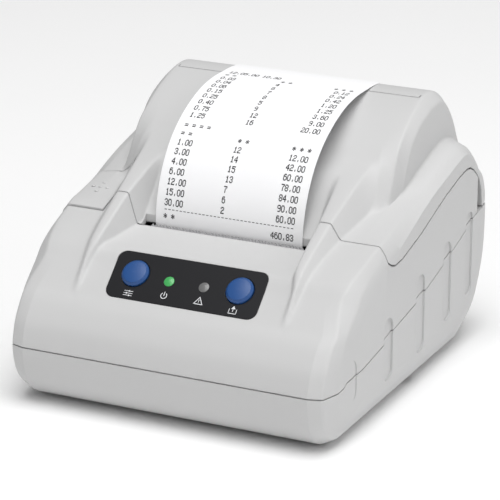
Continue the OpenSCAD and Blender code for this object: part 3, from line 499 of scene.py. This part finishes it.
def surface(name, colour, rough, metal=0.0, mottle=0.03, scale=600.0, bump=0.05, depth=0.00004,
            spec=0.5, edge=0.0, wear=0.04, emit=None, coat=0.0, stretch=(1, 1, 1)):
    """procedural finish: faint colour and gloss variation, fine grain, softened edges"""
    mat, tree, bsdf = nodes_of(name)
    n, link = tree.nodes, tree.links
    coord = n.new("ShaderNodeTexCoord")
    mapping = n.new("ShaderNodeMapping")
    mapping.inputs["Scale"].default_value = stretch
    link.new(coord.outputs["Object"], mapping.inputs["Vector"])
    broad = n.new("ShaderNodeTexNoise")
    broad.inputs["Scale"].default_value = 28.0
    broad.inputs["Detail"].default_value = 3.0
    link.new(mapping.outputs["Vector"], broad.inputs["Vector"])
    grain = n.new("ShaderNodeTexNoise")
    grain.inputs["Scale"].default_value = scale
    grain.inputs["Detail"].default_value = 4.0
    link.new(mapping.outputs["Vector"], grain.inputs["Vector"])
    mix = n.new("ShaderNodeMix")
    mix.data_type = "RGBA"
    mix.inputs["A"].default_value = (*[c * (1 - mottle) for c in colour], 1)
    mix.inputs["B"].default_value = (*[min(1, c * (1 + mottle)) for c in colour], 1)
    link.new(broad.outputs["Fac"], mix.inputs["Factor"])
    link.new(mix.outputs["Result"], bsdf.inputs["Base Color"])
    span = n.new("ShaderNodeMapRange")
    span.inputs["To Min"].default_value = max(0.02, rough - wear)
    span.inputs["To Max"].default_value = min(1, rough + wear)
    link.new(grain.outputs["Fac"], span.inputs["Value"])
    link.new(span.outputs["Result"], bsdf.inputs["Roughness"])
    bsdf.inputs["Metallic"].default_value = metal
    bsdf.inputs["Specular IOR Level"].default_value = spec
    bsdf.inputs["Coat Weight"].default_value = coat
    bumper = n.new("ShaderNodeBump")
    bumper.inputs["Strength"].default_value = bump
    bumper.inputs["Distance"].default_value = depth
    link.new(grain.outputs["Fac"], bumper.inputs["Height"])
    if edge:
        soft = n.new("ShaderNodeBevel")
        soft.samples = 6
        soft.inputs["Radius"].default_value = edge
        link.new(soft.outputs["Normal"], bumper.inputs["Normal"])
    link.new(bumper.outputs["Normal"], bsdf.inputs["Normal"])
    if emit:
        bsdf.inputs["Emission Color"].default_value = (*colour, 1)
        bsdf.inputs["Emission Strength"].default_value = emit
    return mat


MATERIALS = {
    "case_plastic": surface("case_plastic", (0.57, 0.57, 0.57), 0.5, bump=0.12, edge=0.0005,
                            mottle=0.012, spec=0.4),
    "panel_plastic": surface("panel_plastic", (0.011, 0.011, 0.013), 0.4, bump=0.06, edge=0.0003,
                             spec=0.25),
    "button_plastic": surface("button_plastic", (0.016, 0.075, 0.25), 0.38, bump=0.05,
                              edge=0.0004),
    "lens_green": surface("lens_green", (0.06, 0.36, 0.10), 0.25, bump=0.02, edge=0.0002,
                          emit=0.12),
    "lens_grey": surface("lens_grey", (0.16, 0.16, 0.16), 0.25, bump=0.02, edge=0.0002),
    "dark_plastic": surface("dark_plastic", (0.045, 0.045, 0.05), 0.55, bump=0.15, edge=0.0003),
    "port_plastic": surface("port_plastic", (0.02, 0.02, 0.022), 0.45, bump=0.1, edge=0.0002),
    "white_plastic": surface("white_plastic", (0.75, 0.74, 0.70), 0.4, bump=0.08, edge=0.0001),
    "board": surface("board", (0.015, 0.13, 0.055), 0.35, mottle=0.25, scale=240, bump=0.2,
                     edge=0.0001),
    "steel": surface("steel", (0.56, 0.56, 0.57), 0.28, metal=1.0, bump=0.05, scale=900,
                     edge=0.0001, stretch=(0.12, 1, 1)),
    "frame_steel": surface("frame_steel", (0.10, 0.10, 0.11), 0.42, metal=0.7, bump=0.08,
                           edge=0.0001),
    "head_ceramic": surface("head_ceramic", (0.34, 0.25, 0.16), 0.18, bump=0.04, coat=0.5),
    "heat_sink_metal": surface("heat_sink_metal", (0.62, 0.62, 0.63), 0.38, metal=1.0, bump=0.1,
                               scale=700, stretch=(0.1, 1, 1), edge=0.0001),
    "gear_brass": surface("gear_brass", (0.62, 0.44, 0.17), 0.3, metal=1.0, bump=0.05),
    "platen_rubber": surface("platen_rubber", (0.028, 0.028, 0.03), 0.75, bump=0.3, spec=0.3),
    "foot_rubber": surface("foot_rubber", (0.04, 0.04, 0.04), 0.8, bump=0.4, spec=0.25,
                           edge=0.0002),
    "thermal_paper": surface("thermal_paper", (0.93, 0.93, 0.94), 0.55, bump=0.06, scale=900,
                             mottle=0.01, spec=0.3),
    "core_card": surface("core_card", (0.46, 0.35, 0.22), 0.85, mottle=0.12, bump=0.3, scale=350),
}
INK = surface("print_ink", (0.012, 0.012, 0.015), 0.6, mottle=0.2, scale=1500, bump=0.02)
LEGEND = surface("panel_legend", (0.75, 0.76, 0.78), 0.45, mottle=0.03, bump=0.02)
slots = {s["node"]: s["material_slot"] for s in frame["record"]["subparts"]}


def shade(obj, angle=32):
    obj.data.shade_smooth()
    obj.data.set_sharp_from_angle(angle=math.radians(angle))


def dress(obj, slot, body=None, covers=()):
    obj.data.materials.clear()
    obj.data.materials.append(MATERIALS[slot])
    if body:
        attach(obj, body)
    if covers:
        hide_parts(*covers)


for name, obj in nodes.items():
    obj.data.materials.clear()
    obj.data.materials.append(MATERIALS[slots[name]])

for obj, name, body in ((lower, "lower_case", "base"), (upper, "upper_case", "base"),
                        (lid, "lid", "lid_body"), (lever, "release_lever", "lever_body")):
    obj.name = name + "_skin"
    bm = bmesh.new()
    bm.from_mesh(obj.data)
    bmesh.ops.remove_doubles(bm, verts=bm.verts, dist=0.00001)
    bmesh.ops.dissolve_degenerate(bm, edges=bm.edges, dist=0.00001)
    bm.to_mesh(obj.data)
    bm.free()
    shade(obj)
    dress(obj, "case_plastic", body, [name])

# ---- raised dots on the lever ----------------------------------------------------
dots = []
for dx, dy in ((0, 0), (2.8, 0), (-2.8, 0), (0, 3.0), (0, -3.0)):
    bpy.ops.mesh.primitive_uv_sphere_add(segments=20, ring_count=12, radius=0.00085)
    ball = bpy.context.object
    spot = Vector((-53.6 + dx, -16.4 + dy, 64.5 + 0.235 * dy)) * MM
    ball.data.transform(Matrix.Translation(spot) @ Matrix.Scale(0.55, 4, (0, 0, 1)))
    dots.append(ball)
dots = join_meshes(dots)
dots.name = "lever_grip_dots"
shade(dots, 60)
dress(dots, "case_plastic", "lever_body")

# ---- the paper -------------------------------------------------------------------
PAPER_W, PAPER_T = 57.5, 0.16
STRIP = [(-20.2, 47.8), (-20.2, 49.9), (-20.6, 52), (-21, 54), (-21.1, 57), (-20.8, 61),
         (-19.7, 66), (-17.6, 71.5), (-14.6, 77), (-10.6, 82.3), (-5.4, 87), (0.8, 91),
         (8.2, 94.4), (16.4, 96.9), (25, 98.1), (33, 98.25), (40, 98.2), (46, 97.6)]


def open_curve(points, steps):
    pts = [Vector(p) for p in points]
    pts = [2 * pts[0] - pts[1]] + pts + [2 * pts[-1] - pts[-2]]
    out = []
    for i in range(len(pts) - 3):
        p0, p1, p2, p3 = pts[i:i + 4]
        for s in range(steps):
            t = s / steps
            out.append(0.5 * ((2 * p1) + (p2 - p0) * t + (2 * p0 - 5 * p1 + 4 * p2 - p3) * t * t
                              + (3 * p1 - p0 - 3 * p2 + p3) * t ** 3))
    return out + [pts[-2]]


LINE = open_curve(STRIP, 6)
RUN = [0.0]
for a, b in zip(LINE, LINE[1:]):
    RUN.append(RUN[-1] + (b - a).length)


def on_strip(x, s, lift):
    """point on the outer face of the printed strip, s millimetres up from the nip"""
    i = max(1, min(len(RUN) - 1, next((k for k, v in enumerate(RUN) if v >= s), len(RUN) - 1)))
    t = (s - RUN[i - 1]) / (RUN[i] - RUN[i - 1])
    p = LINE[i - 1].lerp(LINE[i], t)
    d = (LINE[i] - LINE[i - 1]).normalized()
    return (x, p.x - d.y * lift, p.y + d.x * lift)


verts, faces = [], []
for i, s in enumerate(RUN):
    for x, lift in ((-PAPER_W / 2, PAPER_T / 2), (PAPER_W / 2, PAPER_T / 2),
                    (PAPER_W / 2, -PAPER_T / 2), (-PAPER_W / 2, -PAPER_T / 2)):
        verts.append(on_strip(x, s, lift))
for i in range(len(RUN) - 1):
    a, b = 4 * i, 4 * (i + 1)
    faces += [(a + j, b + j, b + (j + 1) % 4, a + (j + 1) % 4) for j in range(4)]
faces += [(0, 1, 2, 3), tuple(4 * (len(RUN) - 1) + j for j in (3, 2, 1, 0))]
receipt = mesh_object("receipt_strip", verts, faces)
shade(receipt, 40)
dress(receipt, "thermal_paper", "lid_body", ["receipt"])

# digits in a dot-matrix hand: five wide, seven high
DIGITS = {
    "0": "01110 10001 10001 10001 10001 10001 01110",
    "1": "00100 01100 00100 00100 00100 00100 01110",
    "2": "01110 10001 00001 00110 01000 10000 11111",
    "3": "01110 10001 00001 00110 00001 10001 01110",
    "4": "00010 00110 01010 10010 11111 00010 00010",
    "5": "11111 10000 11110 00001 00001 10001 01110",
    "6": "01110 10000 11110 10001 10001 10001 01110",
    "7": "11111 00001 00010 00100 00100 00100 00100",
    "8": "01110 10001 10001 01110 10001 10001 01110",
    "9": "01110 10001 10001 01111 00001 00001 01110",
    ".": "00000 00000 00000 00000 00000 00100 00100",
    "-": "00000 00000 00000 11110 00000 00000 00000",
    "*": "00000 00100 10101 01110 10101 00100 00000",
    "=": "00000 00000 11111 00000 11111 00000 00000",
}
print_verts, print_faces = [], []


def patch(x0, x1, s0, s1):
    n = len(print_verts)
    for x, s in ((x0, s0), (x1, s0), (x1, s1), (x0, s1)):
        print_verts.append(on_strip(x, s, PAPER_T / 2 + 0.02))
    print_faces.append((n, n + 1, n + 2, n + 3))


def write(text, x, s, right=False, cell=(0.25, 0.345)):
    cw, ch = cell
    pitch = cw * 5.95
    if right:
        x -= pitch * len(text)
    for c in text:
        if c in DIGITS:
            for r, row in enumerate(DIGITS[c].split()):
                k = 0
                while k < 5:
                    if row[k] == "1":
                        m = k
                        while m < 5 and row[m] == "1":
                            m += 1
                        patch(x + k * cw - 0.05, x + m * cw + 0.05, s + (6 - r) * ch - 0.04,
                              s + (7 - r) * ch + 0.04)
                        k = m
                    k += 1
        x += pitch


ROWS = [("1.00", "12", "12.00"), ("3.00", "14", "42.00"), ("4.00", "15", "60.00"),
        ("6.00", "13", "78.00"), ("12.00", "7", "84.00"), ("15.00", "6", "90.00"),
        ("30.00", "2", "60.00")]
COINS = [("0.03", "4", "0.12"), ("0.04", "6", "0.24"), ("0.06", "7", "0.42"),
         ("0.15", "8", "1.20"), ("0.25", "5", "1.25"), ("0.40", "9", "3.60"),
         ("0.75", "12", "9.00"), ("1.25", "16", "20.00")]
MARGIN, COUNT_X, MARK_X, ROW_H = 25.6, -3.4, -3.0, 3.72
TOTAL_S, RULE_S, DASH, DASH_PITCH = 10.2, 3.5, 0.95, 1.5


def write_row(left, middle, right, s, middle_x=COUNT_X):
    write(left, -MARGIN, s)
    write(middle, middle_x, s)
    write(right, MARGIN, s, True)


def write_table(rows, s):
    """rows of figures from the bottom up, then the row of marks that heads them"""
    for row in reversed(rows):
        write_row(*row, s)
        s += ROW_H
    write_row("= =", "* *", "* * *", s, MARK_X)
    return s + ROW_H


s = TOTAL_S
write("* *", -MARGIN, s)
write("460.83", MARGIN - 0.2, s - 1.0, True)
s += RULE_S
x = 0.2 - MARGIN
while x < 25:
    patch(x, x + DASH, s, s + 0.26)
    x += DASH_PITCH
s = write_table(ROWS, s + 1.5)
write("= = = =", -MARGIN, s)
s = write_table(COINS, s + ROW_H * 1.35)
write("12.05.00 10.30", -MARGIN, s)
printing = mesh_object("receipt_print", print_verts, print_faces)
printing.data.materials.append(INK)
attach(printing, "lid_body")

# ---- signs on the panel ----------------------------------------------------------
sign_verts, sign_faces = [], []


def sign(points, z=0.17):
    n = len(sign_verts)
    for x, y in points:
        sign_verts.append(PANEL @ (Vector((x, y, z)) * MM) / MM)
    sign_faces.append(tuple(range(n, n + len(points))))


def ring(cx, cy, r, w, a0=0, a1=360, n=28):
    for i in range(n):
        a, b = (math.radians(lerp(a0, a1, (i + k) / n)) for k in (0, 1))
        sign([(cx + (r - w) * math.cos(a), cy + (r - w) * math.sin(a)),
              (cx + r * math.cos(a), cy + r * math.sin(a)),
              (cx + r * math.cos(b), cy + r * math.sin(b)),
              (cx + (r - w) * math.cos(b), cy + (r - w) * math.sin(b))])


def bar(x0, y0, x1, y1):
    sign([(x0, y0), (x1, y0), (x1, y1), (x0, y1)])


# adjusting: three short slider lines
for k, knob in ((-1, 0.5), (0, -0.6), (1, 0.2)):
    y = -6.9 + k * 0.85
    bar(-BUTTON_X - 1.7, y - 0.1, -BUTTON_X + 1.7, y + 0.1)
    bar(-BUTTON_X + knob - 0.22, y - 0.3, -BUTTON_X + knob + 0.22, y + 0.3)
# power: open ring and stroke
ring(-LAMP_X, -5.6, 1.25, 0.28, 125, 415)
bar(-6.84, -5.7, -6.56, -4.1)
# fault: triangle outline with a stroke and a dot
for a, b in (((5.1, -6.6), (8.3, -6.6)), ((8.3, -6.6), (6.7, -3.9)), ((6.7, -3.9), (5.1, -6.6))):
    d = Vector((b[0] - a[0], b[1] - a[1])).normalized() * 0.13
    sign([(a[0] - d.x + d.y, a[1] - d.y - d.x), (b[0] + d.x + d.y, b[1] + d.y - d.x),
          (b[0] + d.x - d.y, b[1] + d.y + d.x), (a[0] - d.x - d.y, a[1] - d.y + d.x)])
bar(6.58, -5.7, 6.82, -4.8)
bar(6.58, -6.15, 6.82, -5.9)
# feed: sheet with an arrow
for x0, y0, x1, y1 in ((18.6, -8.1, 21.6, -7.85), (18.6, -8.1, 18.82, -6.2),
                       (21.38, -8.1, 21.6, -6.2), (19.98, -7.3, 20.22, -5.9)):
    bar(x0, y0, x1, y1)
sign([(19.3, -6.2), (20.9, -6.2), (20.1, -5.0)])
signs = mesh_object("panel_signs", sign_verts, sign_faces)
signs.data.materials.append(LEGEND)
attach(signs, "base")

# ---- studio ----------------------------------------------------------------------
bpy.ops.mesh.primitive_plane_add(size=6, location=(0, 0, 0))
floor = bpy.context.object
floor.name = "floor"
mat, tree, bsdf = nodes_of("floor_paint")
noise = tree.nodes.new("ShaderNodeTexNoise")
noise.inputs["Scale"].default_value = 40.0
span = tree.nodes.new("ShaderNodeMapRange")
span.inputs["To Min"].default_value = 0.55
span.inputs["To Max"].default_value = 0.65
tree.links.new(noise.outputs["Fac"], span.inputs["Value"])
tree.links.new(span.outputs["Result"], bsdf.inputs["Roughness"])
bsdf.inputs["Base Color"].default_value = (0.97, 0.97, 0.97, 1)
floor.data.materials.append(mat)

world = bpy.data.worlds.new("studio")
bpy.context.scene.world = world
world.use_nodes = True
world.node_tree.nodes["Background"].inputs["Color"].default_value = (1, 1, 1, 1)
sky = world.node_tree
where = sky.nodes.new("ShaderNodeTexCoord")
parts = sky.nodes.new("ShaderNodeSeparateXYZ")
fade = sky.nodes.new("ShaderNodeMapRange")
fade.inputs["From Min"].default_value = -1.0
fade.inputs["From Max"].default_value = 0.6
fade.inputs["To Min"].default_value = 0.02
fade.inputs["To Max"].default_value = 0.5
sky.links.new(where.outputs["Generated"], parts.inputs["Vector"])
sky.links.new(parts.outputs["X"], fade.inputs["Value"])
sky.links.new(fade.outputs["Result"], sky.nodes["Background"].inputs["Strength"])


def area(name, spot, target, size, power):
    light = bpy.data.lights.new(name, "AREA")
    light.shape = "RECTANGLE"
    light.size, light.size_y = size
    light.energy = power
    obj = bpy.data.objects.new(name, light)
    bpy.context.scene.collection.objects.link(obj)
    obj.location = spot
    obj.rotation_euler = (Vector(target) - Vector(spot)).to_track_quat("-Z", "Y").to_euler()


area("key", (0.25, -0.35, 2.0), (0, 0, 0.05), (1.6, 1.6), 38)
area("right", (1.6, -0.5, 0.9), (0, 0, 0.06), (0.8, 1.0), 1.5)
area("front", (0.15, -1.5, 1.5), (0, 0, 0.06), (0.8, 0.8), 2.5)
bpy.context.scene.view_settings.view_transform = "Standard"

camera_data = bpy.data.cameras.new("camera")
camera = bpy.data.objects.new("camera", camera_data)
bpy.context.scene.collection.objects.link(camera)
camera_data.sensor_width = 36
camera_data.lens = 197.4
camera_data.clip_end = 20
azimuth, elevation = math.radians(25.82), math.radians(19.36)
# the camera's own axes: back towards the viewer, right and up
back = Vector((math.sin(azimuth) * math.cos(elevation),
               -math.cos(azimuth) * math.cos(elevation), math.sin(elevation)))
right = Vector((math.cos(azimuth), math.sin(azimuth), 0))
up = back.cross(right)
camera.matrix_world = (Matrix.Translation(Vector((0.4044, -0.8394, 0.3707)))
                       @ Matrix((right, up, back)).transposed().to_4x4())
bpy.context.scene.camera = camera

bpy.context.view_layer.update()
